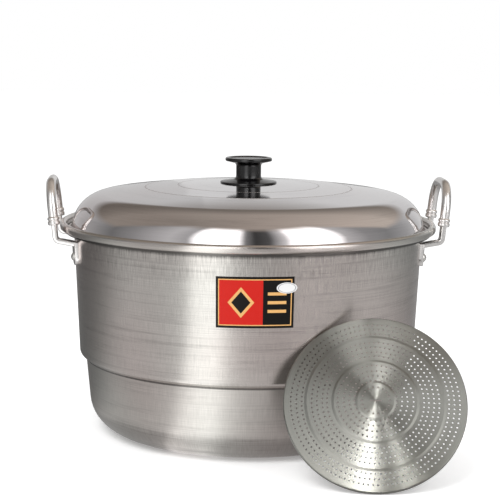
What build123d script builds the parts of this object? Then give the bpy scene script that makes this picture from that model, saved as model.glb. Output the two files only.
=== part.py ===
from build123d import *
from math import asin, atan2, cos, degrees, hypot, pi, radians, sin, sqrt, tan
import os

# Stepped steamer pot of spun aluminium, about 40 cm across its rolled rim.
# Millimetres, +Z up, the origin at the centre of the flat base, the two handles on +X and -X.
# A perforated plate rests on the step inside, a domed lid drops into the rim, and a smaller
# plate of the same pattern leans against the front of the pot, on the -Y side.

# Gaps and shared values
seat_gap = 0.3            # between a loose piece and the face that it rests on
fit_gap = 0.1             # round a rivet or a screw in its hole
overrun = 5.0             # how far a cutting tool passes through what it cuts

# Pot body
rim_radius = 200.0
pot_wall = 1.8
neck_inset = 14.5         # from the rim's edge in to the top of the upper wall, under the lid seat
upper_flare = 6.1         # how much wider the upper wall is at its top than at the step
step_width = 6.6
lower_flare = 7.6         # how much wider the lower wall is at the step than at a sharp base corner
corner_radius = 38.7
step_height = 79.0        # top of the lower chamber
step_rise = 5.5
step_bevel = 2.5
rim_height = 224.8
bead_height = 8.5
bead_width = 6.8
bead_bevel = 2.2
seat_depth = 9.3          # from the top of the bead down to the lid seat

# Lid
lid_wall = 1.5
lid_side_gap = 1.4        # between the lid's flange and the bead
lid_flange = 2.8
lid_lean = 16.6           # lean of the lid's side, in degrees
lid_shoulder_radius = 37.3
lid_crown_height = 47.4   # from the top of the flange to the middle of the lid
lid_ring_drop = 4.8       # from the middle disc down to the ring
lid_crown_slope = 7.3     # fall of the crown outside the ring, in degrees
lid_ring_radius = 110.0
lid_disc_radius = 32.0

# Knob and its fixing
knob_height = 27.0
knob_foot_radius = 30.0
knob_foot_edge = 1.6
knob_foot_height = 4.2
knob_waist_radius = 13.3
knob_top_radius = 24.8
knob_top_edge = 3.4
knob_top_height = 6.2
knob_dish_depth = 1.0
knob_waist_bevel = 2.5
knob_top_bevel = 1.2
insert_radius = 4.5
insert_length = 12.0
screw_radius = 2.5
screw_head_radius = 5.0
screw_head_height = 3.2
screw_grip = 9.0          # length of the screw inside the insert
knob_washer_radius = 9.0
knob_washer_thickness = 1.2

# Handles
handle_spacing = 80.0     # between the two legs of one handle
handle_stand_off = 4.5    # from the rim's edge out to a leg at its collar
handle_lean = 6.0         # outward lean of the loop, in degrees
bar_radius = 5.0
bar_sides = 12            # the real bar is round
loop_height = 38.0        # from the collars to the middle of the bar at the top
loop_corner = 27.0
collar_rise = 3.2         # from the rim's top up to the middle of a collar
collar_radius = 6.3
collar_length = 9.0
collar_edge = 1.5
leg_width = 11.0
leg_thickness = 5.5
elbow_drop = 20.3         # from the rim's top down to the underside of the elbow
strap_drop = 4.0          # fall of the strap from the elbow to the wall
lug_thickness = 4.0
lug_width = 15.0

# Rivets
rivet_radius = 2.5
rivet_head_radius = 4.6
rivet_head_height = 2.8
rivet_crown_radius = 2.2
rivet_brim_height = 0.8
rivet_tail_radius = 4.2
rivet_tail_height = 1.6
rivet_drop = 10.0         # from the underside of the strap to the rivet
rivet_edge = 9.0          # from the rivet to the end of the lug
rivet_washer_radius = 6.5
rivet_washer_thickness = 1.0
rivet_washer_gap = 0.15   # lets the flat washer stand clear of the curved wall

# Perforated plates, the inner one and the smaller one in front
ring_shares = (0.212, 0.463, 0.758)
fall_shares = (0.0, 0.18, 0.38, 0.44)
row_shares = (0.15, 0.335, 0.61, 0.87)   # one row of holes a field; the real plate has twelve
slot_share = 0.065        # half length of the lifting slot
plate_side_gap = 3.9      # from the inner plate to the foot of the upper wall
plate_wall = 1.2
plate_rise = 19.0
plate_lip = 6.0
plate_ring_step = 1.6
plate_ring_width = 4.0
plate_hole_width = 4.0
plate_hole_pitch = 70.0   # the real holes are closer, at about 9 mm
plate_slot_width = 2.4
front_radius = 88.0
front_wall = 1.0
front_rise = 9.5
front_lip = 3.5
front_ring_step = 0.9
front_ring_width = 2.4
front_hole_width = 2.4
front_hole_pitch = 35.0   # the real holes are closer, at about 4.6 mm
front_slot_width = 1.4
front_tilt = 57.0         # from the floor, in degrees
front_turn = -5.0         # from facing -Y, in degrees
front_place = 112.0       # from the pot's axis towards +X

# Labels, left blank
label_width = 76.0
label_height = 50.5
label_drop = 57.6         # from the rim's top down to the middle of the label
label_turn = -0.7         # from the -Y direction towards +X, in degrees
sticker_width = 20.3
sticker_height = 10.8
sticker_drop = 43.3       # from the rim's top down to the middle of the sticker
sticker_turn = 8.9
label_thickness = 0.2
front_direction = -90.0   # the -Y direction, in degrees from +X

# Levels, radii and slopes that several pieces share
neck_radius = rim_radius - neck_inset
upper_bottom_radius = neck_radius - upper_flare
lower_top_radius = upper_bottom_radius - step_width
base_radius = lower_top_radius - lower_flare
handle_reach = rim_radius + handle_stand_off
collar_height = rim_height + collar_rise
elbow_height = rim_height - elbow_drop
label_centre_height = rim_height - label_drop
sticker_centre_height = rim_height - sticker_drop
upper_foot = step_height + step_rise
seat_height = rim_height - seat_depth
neck_height = seat_height - pot_wall
bead_inner_radius = rim_radius - bead_width
upper_slope = (neck_radius - upper_bottom_radius) / (neck_height - upper_foot)
step_slope = step_rise / (upper_bottom_radius - lower_top_radius)
lower_slope = (lower_top_radius - base_radius) / step_height
wall_lean = degrees(atan2(upper_slope, 1))
strap_foot = elbow_height - strap_drop
rivet_height = strap_foot - rivet_drop


# Radius of the pot's outer skin above the corner of the base
def skin_radius(height):
    if height < upper_foot:
        return base_radius + height * lower_slope
    return upper_bottom_radius + (height - upper_foot) * upper_slope


# A plane that lies on the upper wall with its Z outwards and its X up the wall
def wall_plane(turn, height, stand_off=0.0):
    outwards = Vector(cos(radians(turn)), sin(radians(turn)), 0)
    lean = radians(wall_lean)
    normal = outwards * cos(lean) - Vector(0, 0, sin(lean))
    up_wall = outwards * sin(lean) + Vector(0, 0, cos(lean))
    foot = outwards * skin_radius(height) + Vector(0, 0, height)
    return Plane(origin=foot + normal * stand_off, x_dir=up_wall, z_dir=normal)



# Points that run beside an open outline, on its left, at the thickness of a wall
def beside(points, wall):
    corners = [Vector(*point) for point in points]
    headings = [(after - before).normalized() for before, after in zip(corners, corners[1:])]
    sides = [Vector(-heading.Y, heading.X) for heading in headings]
    turns = zip(corners, sides[:1] + sides, sides + sides[-1:])
    return [corner + (before + after) * (wall / (1 + before.dot(after))) for corner, before, after in turns]


rivet_turn = degrees(asin(handle_spacing / 2 / skin_radius(rivet_height)))

# Pot body: one sheet drawn by its outer skin, with the rolled bead added to its edge
step_length = hypot(step_rise, upper_bottom_radius - lower_top_radius)
step_heading = Vector(upper_bottom_radius - lower_top_radius, step_rise) / step_length
upper_heading = Vector(neck_radius - upper_bottom_radius, neck_height - upper_foot).normalized()
step_edge = Vector(upper_bottom_radius, upper_foot)
pot_skin = [
    (0, 0),
    (base_radius, 0),
    (lower_top_radius, step_height),
    step_edge - step_heading * step_bevel,
    step_edge + upper_heading * step_bevel,
    (neck_radius, neck_height),
    (bead_inner_radius + pot_wall, neck_height),
]
pot_lining = beside(pot_skin, pot_wall)
with BuildPart() as pot_body:
    with BuildSketch(Plane.XZ):
        with BuildLine() as pot_section:
            Polyline(*pot_skin, *reversed(pot_lining), close=True)
            fillet(pot_section.vertices().sort_by_distance(pot_skin[1])[0], corner_radius)
            fillet(pot_section.vertices().sort_by_distance(pot_lining[1])[0], corner_radius - pot_wall)
        make_face()
        with BuildLine():
            bead_foot = rim_height - bead_height
            Polyline(
                (rim_radius, bead_foot),
                (bead_inner_radius + pot_wall, bead_foot),
                (bead_inner_radius + pot_wall, neck_height),
                (bead_inner_radius, neck_height),
                (bead_inner_radius, rim_height - bead_bevel),
                (bead_inner_radius + bead_bevel, rim_height),
                (rim_radius - bead_bevel, rim_height),
                (rim_radius, rim_height - bead_bevel),
                close=True,
            )
        make_face()
    revolve(axis=Axis.Z)
    for side_turn in (0, 180):
        for turn in (side_turn - rivet_turn, side_turn + rivet_turn):
            with BuildSketch(wall_plane(turn, rivet_height, overrun)):
                Circle(rivet_radius + fit_gap)
            extrude(amount=-2 * overrun, mode=Mode.SUBTRACT)
pot_body.part.label = "pot_body"

# Lid: a flat disc for the knob, a shallow cone to a ring, then the crown, shoulder, side and flange
flange_top = seat_height + seat_gap + lid_wall
flange_radius = bead_inner_radius - lid_side_gap
side_radius = flange_radius - lid_flange
lid_top = flange_top + lid_crown_height
ring_height = lid_top - lid_ring_drop
side_lean = tan(radians(lid_lean))
crown_fall = tan(radians(lid_crown_slope))
brow_radius = (side_radius - (ring_height + lid_ring_radius * crown_fall - flange_top) * side_lean) / (
    1 - crown_fall * side_lean
)
brow_height = ring_height - (brow_radius - lid_ring_radius) * crown_fall
with BuildPart() as lid_shell:
    with BuildSketch(Plane.XZ):
        with BuildLine() as lid_skin:
            Polyline(
                (0, lid_top),
                (lid_disc_radius, lid_top),
                (lid_ring_radius, ring_height),
                (brow_radius, brow_height),
                (side_radius, flange_top),
                (flange_radius, flange_top),
            )
            fillet(lid_skin.vertices().sort_by_distance((brow_radius, brow_height))[0], lid_shoulder_radius)
            offset(amount=lid_wall, kind=Kind.INTERSECTION, side=Side.RIGHT, closed=True)
        make_face()
    revolve(axis=Axis.Z)
    with BuildSketch(Plane.XY.offset(lid_top + overrun)):
        Circle(screw_radius + fit_gap)
    extrude(amount=-lid_wall - 2 * overrun, mode=Mode.SUBTRACT)
lid_shell.part.label = "lid_shell"

# Knob: a spool with a thin wide foot and a dished top, bored from below for its insert
knob_top = lid_top + knob_height
with BuildPart() as lid_knob:
    with BuildSketch(Plane.XZ):
        with BuildLine() as knob_outline:
            Polyline(
                (0, lid_top),
                (knob_foot_radius, lid_top),
                (knob_foot_radius, lid_top + knob_foot_edge),
                (knob_waist_radius, lid_top + knob_foot_height),
                (knob_waist_radius, knob_top - knob_top_height),
                (knob_top_radius, knob_top - knob_top_edge),
                (knob_top_radius, knob_top),
                (0, knob_top - knob_dish_depth),
                close=True,
            )
            waist_corners = knob_outline.vertices().filter_by_position(
                Axis.X, knob_waist_radius - fit_gap, knob_waist_radius + fit_gap
            )
            chamfer(waist_corners, knob_waist_bevel)
            top_corners = knob_outline.vertices().filter_by_position(
                Axis.X, knob_top_radius - fit_gap, knob_top_radius + fit_gap
            )
            chamfer(top_corners, knob_top_bevel)
        make_face()
    revolve(axis=Axis.Z)
    with BuildSketch(Plane.XY.offset(lid_top)):
        Circle(insert_radius)
    extrude(amount=insert_length, mode=Mode.SUBTRACT)
lid_knob.part.label = "lid_knob"

# Threaded insert moulded into the knob, shown with a plain bore
with BuildPart() as knob_insert:
    with BuildSketch(Plane.XY.offset(lid_top)):
        Circle(insert_radius)
        Circle(screw_radius + fit_gap, mode=Mode.SUBTRACT)
    extrude(amount=insert_length)
knob_insert.part.label = "knob_insert"

# Washer under the lid and the pan-head screw that holds the knob
lid_underside = lid_top - lid_wall
with BuildPart() as knob_washer:
    with BuildSketch(Plane.XY.offset(lid_underside)):
        Circle(knob_washer_radius)
        Circle(screw_radius + fit_gap, mode=Mode.SUBTRACT)
    extrude(amount=-knob_washer_thickness)
knob_washer.part.label = "knob_washer"

screw_seat = lid_underside - knob_washer_thickness
with BuildPart() as knob_screw:
    with BuildSketch(Plane.XY.offset(screw_seat)):
        Circle(screw_radius)
    extrude(amount=lid_top + screw_grip - screw_seat)
    with BuildSketch(Plane.XY.offset(screw_seat)):
        Circle(screw_head_radius)
    extrude(amount=-screw_head_height)
    head_rim = knob_screw.edges().filter_by(GeomType.CIRCLE).sort_by(Axis.Z)[0]
    chamfer(head_rim, screw_head_height / 3)
    with BuildSketch(Plane.XY.offset(screw_seat - screw_head_height)):
        Rectangle(2 * screw_head_radius, screw_radius / 2)
    extrude(amount=screw_head_height / 2, mode=Mode.SUBTRACT)
knob_screw.part.label = "knob_screw"

# Right handle: a bent loop with a collar on each leg, flat legs, straps under the rim, and two lugs
# whose backs are cut to the wall
lean = radians(handle_lean)
up_leg = Vector(sin(lean), 0, cos(lean))
out_leg = Vector(cos(lean), 0, -sin(lean))
loop_plane = Plane(origin=(handle_reach, 0, collar_height), x_dir=(0, 1, 0), z_dir=out_leg)
elbow_reach = handle_reach - (collar_height - elbow_height) * tan(lean) + leg_thickness / 2
with BuildPart() as right_handle:
    with BuildLine(loop_plane) as loop_path:
        FilletPolyline(
            (-handle_spacing / 2, 0),
            (-handle_spacing / 2, loop_height),
            (handle_spacing / 2, loop_height),
            (handle_spacing / 2, 0),
            radius=loop_corner,
        )
    loop_wire = loop_path.wires()[0]
    with BuildSketch(Plane(origin=loop_wire @ 0, z_dir=loop_wire % 0)):
        RegularPolygon(bar_radius, bar_sides)
    sweep(path=loop_wire)
    for side in (-1, 1):
        leg_foot = loop_plane.origin + Vector(0, side * handle_spacing / 2, 0)
        with BuildSketch(Plane(origin=leg_foot, x_dir=(0, 1, 0), z_dir=out_leg)):
            with BuildLine():
                Polyline(
                    (0, -collar_length / 2),
                    (collar_radius - collar_edge, -collar_length / 2),
                    (collar_radius, collar_edge - collar_length / 2),
                    (collar_radius, collar_length / 2 - collar_edge),
                    (collar_radius - collar_edge, collar_length / 2),
                    (0, collar_length / 2),
                    close=True,
                )
            make_face()
        revolve(axis=Axis(leg_foot, up_leg))
        with BuildSketch(Plane(origin=leg_foot, x_dir=(0, 1, 0), z_dir=up_leg)):
            Rectangle(leg_width, leg_thickness)
        extrude(amount=-(collar_height - elbow_height) / cos(lean))
        with BuildSketch(Plane(origin=(0, side * handle_spacing / 2, 0), x_dir=(1, 0, 0), z_dir=(0, -1, 0))):
            with BuildLine():
                Polyline(
                    (elbow_reach, elbow_height),
                    (elbow_reach, elbow_height + leg_thickness),
                    (neck_radius - handle_spacing / 4, strap_foot + leg_thickness),
                    (neck_radius - handle_spacing / 4, strap_foot),
                    close=True,
                )
            make_face()
        extrude(amount=leg_width / 2, both=True)
        lug_plane = wall_plane(side * rivet_turn, rivet_height, lug_thickness)
        with BuildSketch(lug_plane):
            with Locations(((rivet_drop + leg_thickness) / 2, 0)):
                Rectangle(rivet_drop + leg_thickness, lug_width)
            Ellipse(rivet_edge, lug_width / 2)
        extrude(amount=-lug_thickness - overrun)
    with BuildSketch(Plane.XZ):
        with BuildLine():
            Polyline(
                (0, upper_foot),
                (upper_bottom_radius, upper_foot),
                (neck_radius, neck_height),
                (0, neck_height),
                close=True,
            )
        make_face()
    revolve(axis=Axis.Z, mode=Mode.SUBTRACT)
    for side in (-1, 1):
        with BuildSketch(wall_plane(side * rivet_turn, rivet_height, lug_thickness + overrun)):
            Circle(rivet_radius + fit_gap)
        extrude(amount=-2 * overrun - lug_thickness, mode=Mode.SUBTRACT)
right_handle.part.label = "right_handle"

with BuildPart() as left_handle:
    mirror(right_handle.part, about=Plane.YZ)
left_handle.part.label = "left_handle"

# Rivets of one handle: a domed head outside, and a tail spread over a washer inside
washer_seat = -pot_wall - rivet_washer_gap
tail_seat = washer_seat - rivet_washer_thickness
with BuildPart() as right_rivets:
    for side in (-1, 1):
        rivet_plane = wall_plane(side * rivet_turn, rivet_height)
        with BuildSketch(Plane(origin=rivet_plane.origin, x_dir=rivet_plane.x_dir, z_dir=-rivet_plane.y_dir)):
            with BuildLine():
                Polyline(
                    (0, lug_thickness + rivet_head_height),
                    (rivet_crown_radius, lug_thickness + rivet_head_height),
                    (rivet_head_radius, lug_thickness + rivet_brim_height),
                    (rivet_head_radius, lug_thickness),
                    (rivet_radius, lug_thickness),
                    (rivet_radius, tail_seat),
                    (rivet_tail_radius, tail_seat),
                    (rivet_tail_radius, tail_seat - rivet_tail_height),
                    (0, tail_seat - rivet_tail_height),
                    close=True,
                )
            make_face()
        revolve(axis=Axis(rivet_plane.origin, rivet_plane.z_dir))
right_rivets.part.label = "right_rivets"

with BuildPart() as left_rivets:
    mirror(right_rivets.part, about=Plane.YZ)
left_rivets.part.label = "left_rivets"

with BuildPart() as right_rivet_washers:
    for side in (-1, 1):
        with BuildSketch(wall_plane(side * rivet_turn, rivet_height, washer_seat)):
            Circle(rivet_washer_radius)
            Circle(rivet_radius + fit_gap, mode=Mode.SUBTRACT)
        extrude(amount=-rivet_washer_thickness)
right_rivet_washers.part.label = "right_rivet_washers"

with BuildPart() as left_rivet_washers:
    mirror(right_rivet_washers.part, about=Plane.YZ)
left_rivet_washers.part.label = "left_rivet_washers"


# Points along the top of a pressed plate, from its middle to its lip: a flat disc, cones that fall
# outwards, a joggle at each ring and a lip that turns down at the edge
def plate_skin(radius, rise, lip, ring_step, ring_width):
    cone_rise = rise - ring_step * len(ring_shares)
    height = lip + rise
    points = [(0, height)]
    for ring_share, fall_share in zip(ring_shares, fall_shares):
        height -= fall_share * cone_rise
        points.append((radius * ring_share - ring_width / 2, height))
        height -= ring_step
        points.append((radius * ring_share + ring_width / 2, height))
    return points + [(radius, lip), (radius, 0)]


# Draws the punched holes, in rows about the middle, and the lifting slot
def punched_holes(radius, width, pitch, slot_width):
    for row_share in row_shares:
        row_radius = radius * row_share
        with PolarLocations(row_radius, round(2 * pi * row_radius / pitch)):
            Rectangle(width, width)
    SlotOverall(2 * slot_share * radius, slot_width)


# Steamer plate, on the step inside the pot
plate_radius = upper_bottom_radius - plate_side_gap
step_reach = plate_radius - lower_top_radius
plate_seat = step_height + step_reach * step_slope + pot_wall * hypot(1, step_slope) + seat_gap
with BuildPart() as steamer_plate:
    plate_plane = Plane.XY.offset(plate_seat)
    with BuildSketch(Plane(origin=plate_plane.origin, x_dir=(1, 0, 0), z_dir=(0, -1, 0))):
        with BuildLine():
            Polyline(*plate_skin(plate_radius, plate_rise, plate_lip, plate_ring_step, plate_ring_width))
            offset(amount=plate_wall, kind=Kind.INTERSECTION, side=Side.RIGHT, closed=True)
        make_face()
    revolve(axis=Axis.Z)
    with BuildSketch(plate_plane):
        punched_holes(plate_radius, plate_hole_width, plate_hole_pitch, plate_slot_width)
    extrude(amount=plate_lip + plate_rise + overrun, mode=Mode.SUBTRACT)
steamer_plate.part.label = "steamer_plate"

# Smaller plate, standing on its lip and leaning back on the wall. Its distance from the axis is
# the least at which every point round its back edge clears the wall.
tilt = radians(front_tilt)
turn_in = radians(front_turn)
across = Vector(cos(turn_in), sin(turn_in), 0)
uphill = Vector(-sin(turn_in) * cos(tilt), cos(turn_in) * cos(tilt), sin(tilt))
centre_height = front_radius * sin(tilt)
edge_steps = 720
clear_places = []
for step in range(edge_steps):
    angle = 2 * pi * step / edge_steps
    offset_point = (across * cos(angle) + uphill * sin(angle)) * front_radius
    reach = skin_radius(centre_height + offset_point.Z) + seat_gap
    room = reach**2 - (front_place + offset_point.X) ** 2
    if room > 0:
        clear_places.append(-sqrt(room) - offset_point.Y)
front_plane = Plane(
    origin=(front_place, min(clear_places), centre_height), x_dir=across, z_dir=across.cross(uphill)
)
with BuildPart() as front_plate:
    with BuildSketch(Plane(origin=front_plane.origin, x_dir=front_plane.x_dir, z_dir=-front_plane.y_dir)):
        with BuildLine():
            Polyline(*plate_skin(front_radius, front_rise, front_lip, front_ring_step, front_ring_width))
            offset(amount=front_wall, kind=Kind.INTERSECTION, side=Side.RIGHT, closed=True)
        make_face()
    revolve(axis=Axis(front_plane.origin, front_plane.z_dir))
    with BuildSketch(front_plane):
        punched_holes(front_radius, front_hole_width, front_hole_pitch, front_slot_width)
    extrude(amount=front_lip + front_rise + overrun, mode=Mode.SUBTRACT)
front_plate.part.label = "front_plate"


# A plane through the pot's axis, with its X outwards at a turn from the -Y direction
def axis_plane(turn):
    angle = radians(turn)
    return Plane(origin=(0, 0, 0), x_dir=(sin(angle), -cos(angle), 0), z_dir=(-cos(angle), -sin(angle), 0))


# Blank label, wrapped on the front of the wall, a seat gap off it
label_inner = seat_gap
label_outer = label_inner + label_thickness
sticker_inner = label_outer + seat_gap
sticker_outer = sticker_inner + label_thickness
label_foot = label_centre_height - label_height / 2
label_head = label_centre_height + label_height / 2
label_sweep = degrees(label_width / skin_radius(label_centre_height))
with BuildPart() as front_label:
    with BuildSketch(axis_plane(label_turn + label_sweep / 2)):
        with BuildLine():
            Polyline(
                (skin_radius(label_foot) + label_inner, label_foot),
                (skin_radius(label_foot) + label_outer, label_foot),
                (skin_radius(label_head) + label_outer, label_head),
                (skin_radius(label_head) + label_inner, label_head),
                close=True,
            )
        make_face()
    revolve(axis=Axis.Z, revolution_arc=-label_sweep)
front_label.part.label = "front_label"

# Blank oval sticker, over one corner of the label
with BuildPart() as size_sticker:
    with BuildSketch(wall_plane(front_direction + sticker_turn, sticker_centre_height, overrun)):
        Ellipse(sticker_height / 2, sticker_width / 2)
    extrude(amount=-2 * overrun)
    with BuildSketch(Plane.XZ):
        with BuildLine():
            Polyline(
                (skin_radius(label_foot) + sticker_inner, label_foot),
                (skin_radius(label_foot) + sticker_outer, label_foot),
                (skin_radius(neck_height) + sticker_outer, neck_height),
                (skin_radius(neck_height) + sticker_inner, neck_height),
                close=True,
            )
        make_face()
    revolve(axis=Axis.Z, mode=Mode.INTERSECT)
size_sticker.part.label = "size_sticker"

pieces = (
    pot_body,
    lid_shell,
    lid_knob,
    knob_insert,
    knob_washer,
    knob_screw,
    right_handle,
    left_handle,
    right_rivets,
    left_rivets,
    right_rivet_washers,
    left_rivet_washers,
    steamer_plate,
    front_plate,
    front_label,
    size_sticker,
)
os.makedirs("parts", exist_ok=True)
for piece in pieces:
    export_step(piece.part, f"parts/{piece.part.label}.step")
    print(piece.part.label, len(piece.part.solids()), round(piece.part.volume))
print("steamer plate seat", round(plate_seat, 3))
print("front plate at", front_plane.origin, "normal", front_plane.z_dir)
print("lid top", round(lid_top, 3), "knob top", round(knob_top, 3), "rivets turned", round(rivet_turn, 3))
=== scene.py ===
import bpy
from math import atan2, cos, hypot, pi, radians, sin, tan
from mathutils import Matrix, Vector


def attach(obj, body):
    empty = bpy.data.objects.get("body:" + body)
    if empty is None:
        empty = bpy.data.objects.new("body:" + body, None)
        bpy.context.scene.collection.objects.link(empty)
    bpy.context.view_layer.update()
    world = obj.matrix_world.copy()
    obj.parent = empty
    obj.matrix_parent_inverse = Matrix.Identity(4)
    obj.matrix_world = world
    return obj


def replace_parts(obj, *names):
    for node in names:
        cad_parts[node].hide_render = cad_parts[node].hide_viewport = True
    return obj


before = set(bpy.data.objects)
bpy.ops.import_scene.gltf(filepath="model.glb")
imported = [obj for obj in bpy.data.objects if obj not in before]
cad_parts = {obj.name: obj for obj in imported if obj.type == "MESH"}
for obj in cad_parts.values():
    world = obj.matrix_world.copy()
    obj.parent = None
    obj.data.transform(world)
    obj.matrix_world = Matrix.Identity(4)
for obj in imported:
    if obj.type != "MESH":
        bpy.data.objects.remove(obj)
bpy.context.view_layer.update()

mm = 0.001
levels = {  # heights and radii of the pot's wall, in mm from its flat base and its axis, and a turn in radians
    "stepFoot": 79.0, "stepHead": 84.5, "stepFootRadius": 172.8, "stepHeadRadius": 179.4,
    "neck": 213.7, "neckRadius": 185.5, "seat": 215.5, "rivet": 190.5, "rivetTurn": radians(12.528),
}


def linear(hexColour):
    channels = [int(hexColour[i:i + 2], 16) / 255 for i in (1, 3, 5)]
    return tuple(c / 12.92 if c <= 0.04045 else ((c + 0.055) / 1.055) ** 2.4 for c in channels) + (1.0,)


# Sockets are given by label, with _ for a space, or by number after _
def addNode(tree, kind, settings=None, **sockets):
    node = tree.nodes.new(kind)
    for key, value in (settings or {}).items():
        setattr(node, key, value)
    for key, value in sockets.items():
        socket = node.inputs[int(key[1:])] if key[1:].isdigit() else node.inputs[key.replace("_", " ")]
        if isinstance(value, bpy.types.NodeSocket):
            tree.links.new(value, socket)
        else:
            socket.default_value = value
    return node


def newMaterial(name):
    material = bpy.data.materials.new(name)
    material.use_nodes = True
    material.node_tree.nodes.clear()
    return material, material.node_tree


def finishMaterial(material, tree, shader):
    addNode(tree, "ShaderNodeOutputMaterial", Surface=shader.outputs[0])
    return material


def math(tree, operation, a, b=0.0):
    return addNode(tree, "ShaderNodeMath", {"operation": operation}, _0=a, _1=b).outputs[0]


# The piece's own UV: u in turns round the axis, v in metres along the skin
def skinParts(tree):
    uv = addNode(tree, "ShaderNodeUVMap", {"uv_map": "skin"}).outputs[0]
    return addNode(tree, "ShaderNodeSeparateXYZ", _0=uv)


# Noise along the skin: so many cells in a turn round the axis, and one in gap mm the other way
def skinNoise(tree, skin, turnCells, gap, detail, roughness):
    across = math(tree, "MULTIPLY", skin.outputs[0], turnCells)
    along = math(tree, "MULTIPLY", skin.outputs[1], 1 / (gap * mm))
    place = addNode(tree, "ShaderNodeCombineXYZ", X=across, Y=along).outputs[0]
    return addNode(
        tree, "ShaderNodeTexNoise", Vector=place, Scale=1.0, Detail=detail, Roughness=roughness
    ).outputs[0]


# Cloudy noise with cells of size mm
def objectNoise(tree, place, size, detail, roughness=0.5):
    return addNode(
        tree, "ShaderNodeTexNoise", Vector=place, Scale=1 / (size * mm), Detail=detail, Roughness=roughness
    ).outputs[0]


# Where the wall's marks and its painted shade lie, by height in mm
wallMarks = {
    "chatterFoot": 175.0, "chatterHead": 208.0, "chatterEnd": 212.5, "chatterLength": 14.3,
    "chatterMarks": 1150.0,  # in a turn, about 1 mm apart
    # painted shade under the rim's bead: it deepens from its foot to its head and stops at its end
    "rimShadeFoot": 208.5, "rimShadeHead": 213.5, "rimShadeEnd": 216.2,
    "stepLine": 79.6, "stepLineHalf": 1.3, "dullHead": 79.5, "baseHead": 34.0, "baseFoot": 20.0,
}


# Upright chatter marks that grow towards the rim, painted shade under the rim, a dark line at the step, a
# shaded base
def markedTone(tree, skin, height, tone, look):
    chatter = skinNoise(tree, skin, wallMarks["chatterMarks"], wallMarks["chatterLength"], 1.0, 0.5)
    chatter = math(tree, "MULTIPLY", math(tree, "SUBTRACT", chatter, 0.35), look["chatterTone"])
    nearRim = addNode(
        tree, "ShaderNodeMapRange",
        _0=height, _1=wallMarks["chatterFoot"] * mm, _2=wallMarks["chatterHead"] * mm, _3=1.0, _4=3.0,
    ).outputs[0]
    nearRim = math(tree, "MULTIPLY", nearRim, math(tree, "LESS_THAN", height, wallMarks["chatterEnd"] * mm))
    # Painted shade: a dark band on the wall under the bead of the rim, where the bead's shadow falls
    rimShadeBand = addNode(
        tree, "ShaderNodeMapRange", {"interpolation_type": "SMOOTHSTEP"},
        _0=height, _1=wallMarks["rimShadeFoot"] * mm, _2=wallMarks["rimShadeHead"] * mm, _3=0.0, _4=look["rimShade"],
    ).outputs[0]
    rimShadeBand = math(tree, "MULTIPLY", rimShadeBand, math(tree, "LESS_THAN", height, wallMarks["rimShadeEnd"] * mm))
    fromStep = math(tree, "ABSOLUTE", math(tree, "SUBTRACT", height, wallMarks["stepLine"] * mm))
    atStep = math(tree, "LESS_THAN", fromStep, wallMarks["stepLineHalf"] * mm)
    atBase = addNode(
        tree, "ShaderNodeMapRange", {"interpolation_type": "SMOOTHSTEP"},
        _0=height, _1=wallMarks["baseHead"] * mm, _2=wallMarks["baseFoot"] * mm, _3=0.0, _4=look["baseShade"],
    ).outputs[0]
    marks = math(tree, "MULTIPLY", chatter, nearRim)
    line = math(tree, "MULTIPLY", atStep, look["stepShade"])
    for mark in (marks, rimShadeBand, line, atBase):
        tone = math(tree, "ADD", tone, mark)
    return tone


streakCells = 7.0  # in a turn: long dark streaks along the rings
tintCloud = 166.7  # mm, in which the metal's tint drifts
grooveDepth = 0.2  # mm, at full bump


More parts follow.
